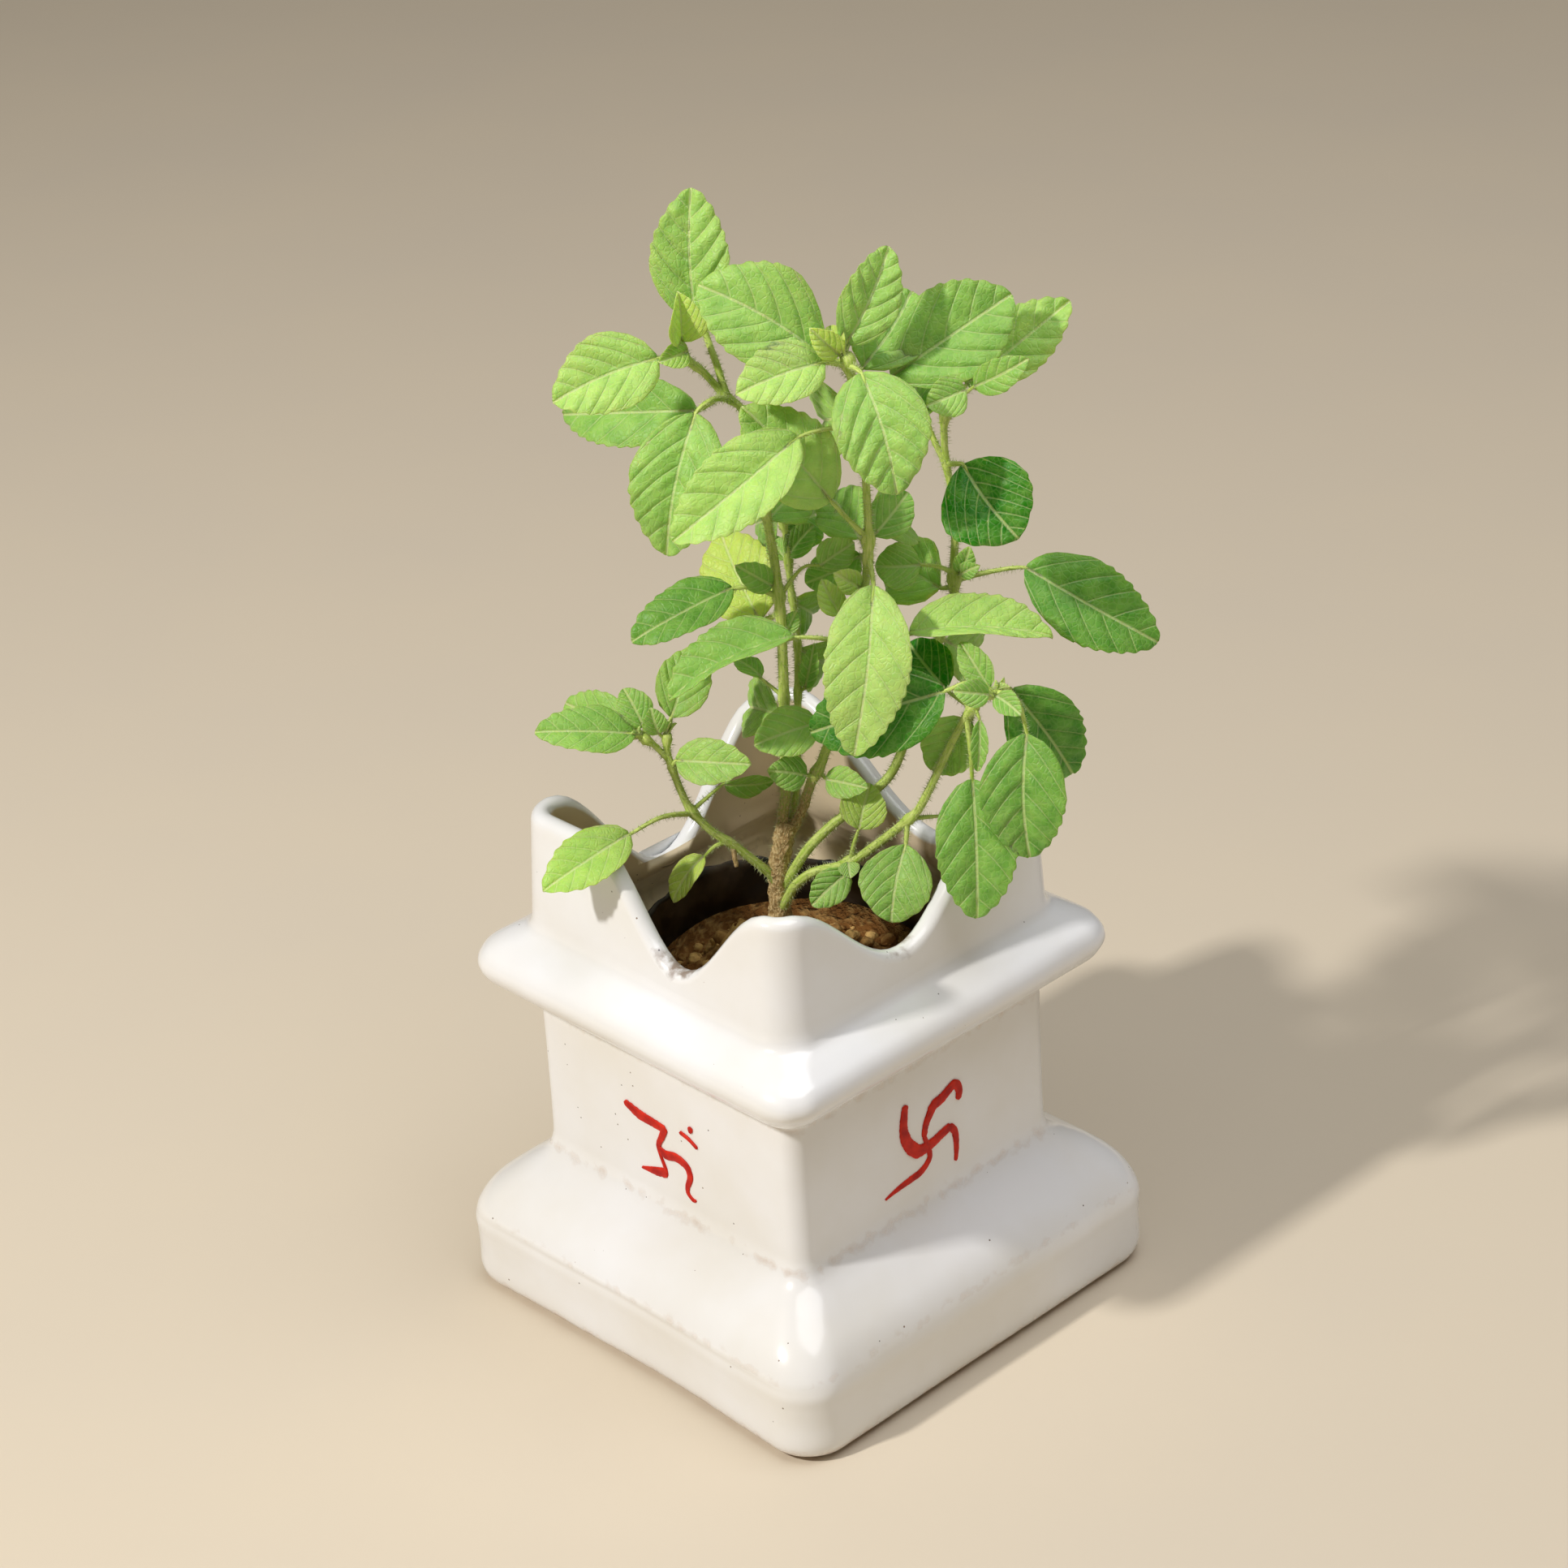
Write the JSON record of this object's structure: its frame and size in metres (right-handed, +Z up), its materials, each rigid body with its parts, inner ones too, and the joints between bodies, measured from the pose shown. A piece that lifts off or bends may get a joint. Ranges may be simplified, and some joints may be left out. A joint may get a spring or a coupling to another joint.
{
  "type": "potted holy basil plant",
  "caption": "Young holy basil with branching leafy stems in a nursery bag of soil, standing in a footed square white glazed pot with a wavy horned rim",
  "frame": {"origin": "middle of the pot's flat underside, at the level it rests on", "axes": "+Z up out of the pot, X and Y square to the pot's faces"},
  "size_m": [0.148, 0.1498, 0.3123],
  "materials": {
    "glazed_clay": "thick white gloss glaze on cast clay, with pinholes and tan staining in the creases",
    "black_polythene": "thin crumpled black nursery sheet with dried soil on it",
    "garden_soil": "crumbly brown garden soil with clods",
    "young_bark": "rough tan bark of a young woody stem",
    "basil_leaf": "fresh green toothed leaves with pale ribs and fine hairs, on hairy yellow-green stems"
  },
  "bodies": {
    "root": {"pot": "glazed_clay", "nursery_bag": "black_polythene", "soil": "garden_soil", "trunk": "young_bark", "stem_left": "basil_leaf", "stem_back": "basil_leaf", "stem_centre": "basil_leaf", "stem_right": "basil_leaf", "branch_lower_right": "basil_leaf", "branch_lower_left": "basil_leaf"}
  },
  "joints": []
}
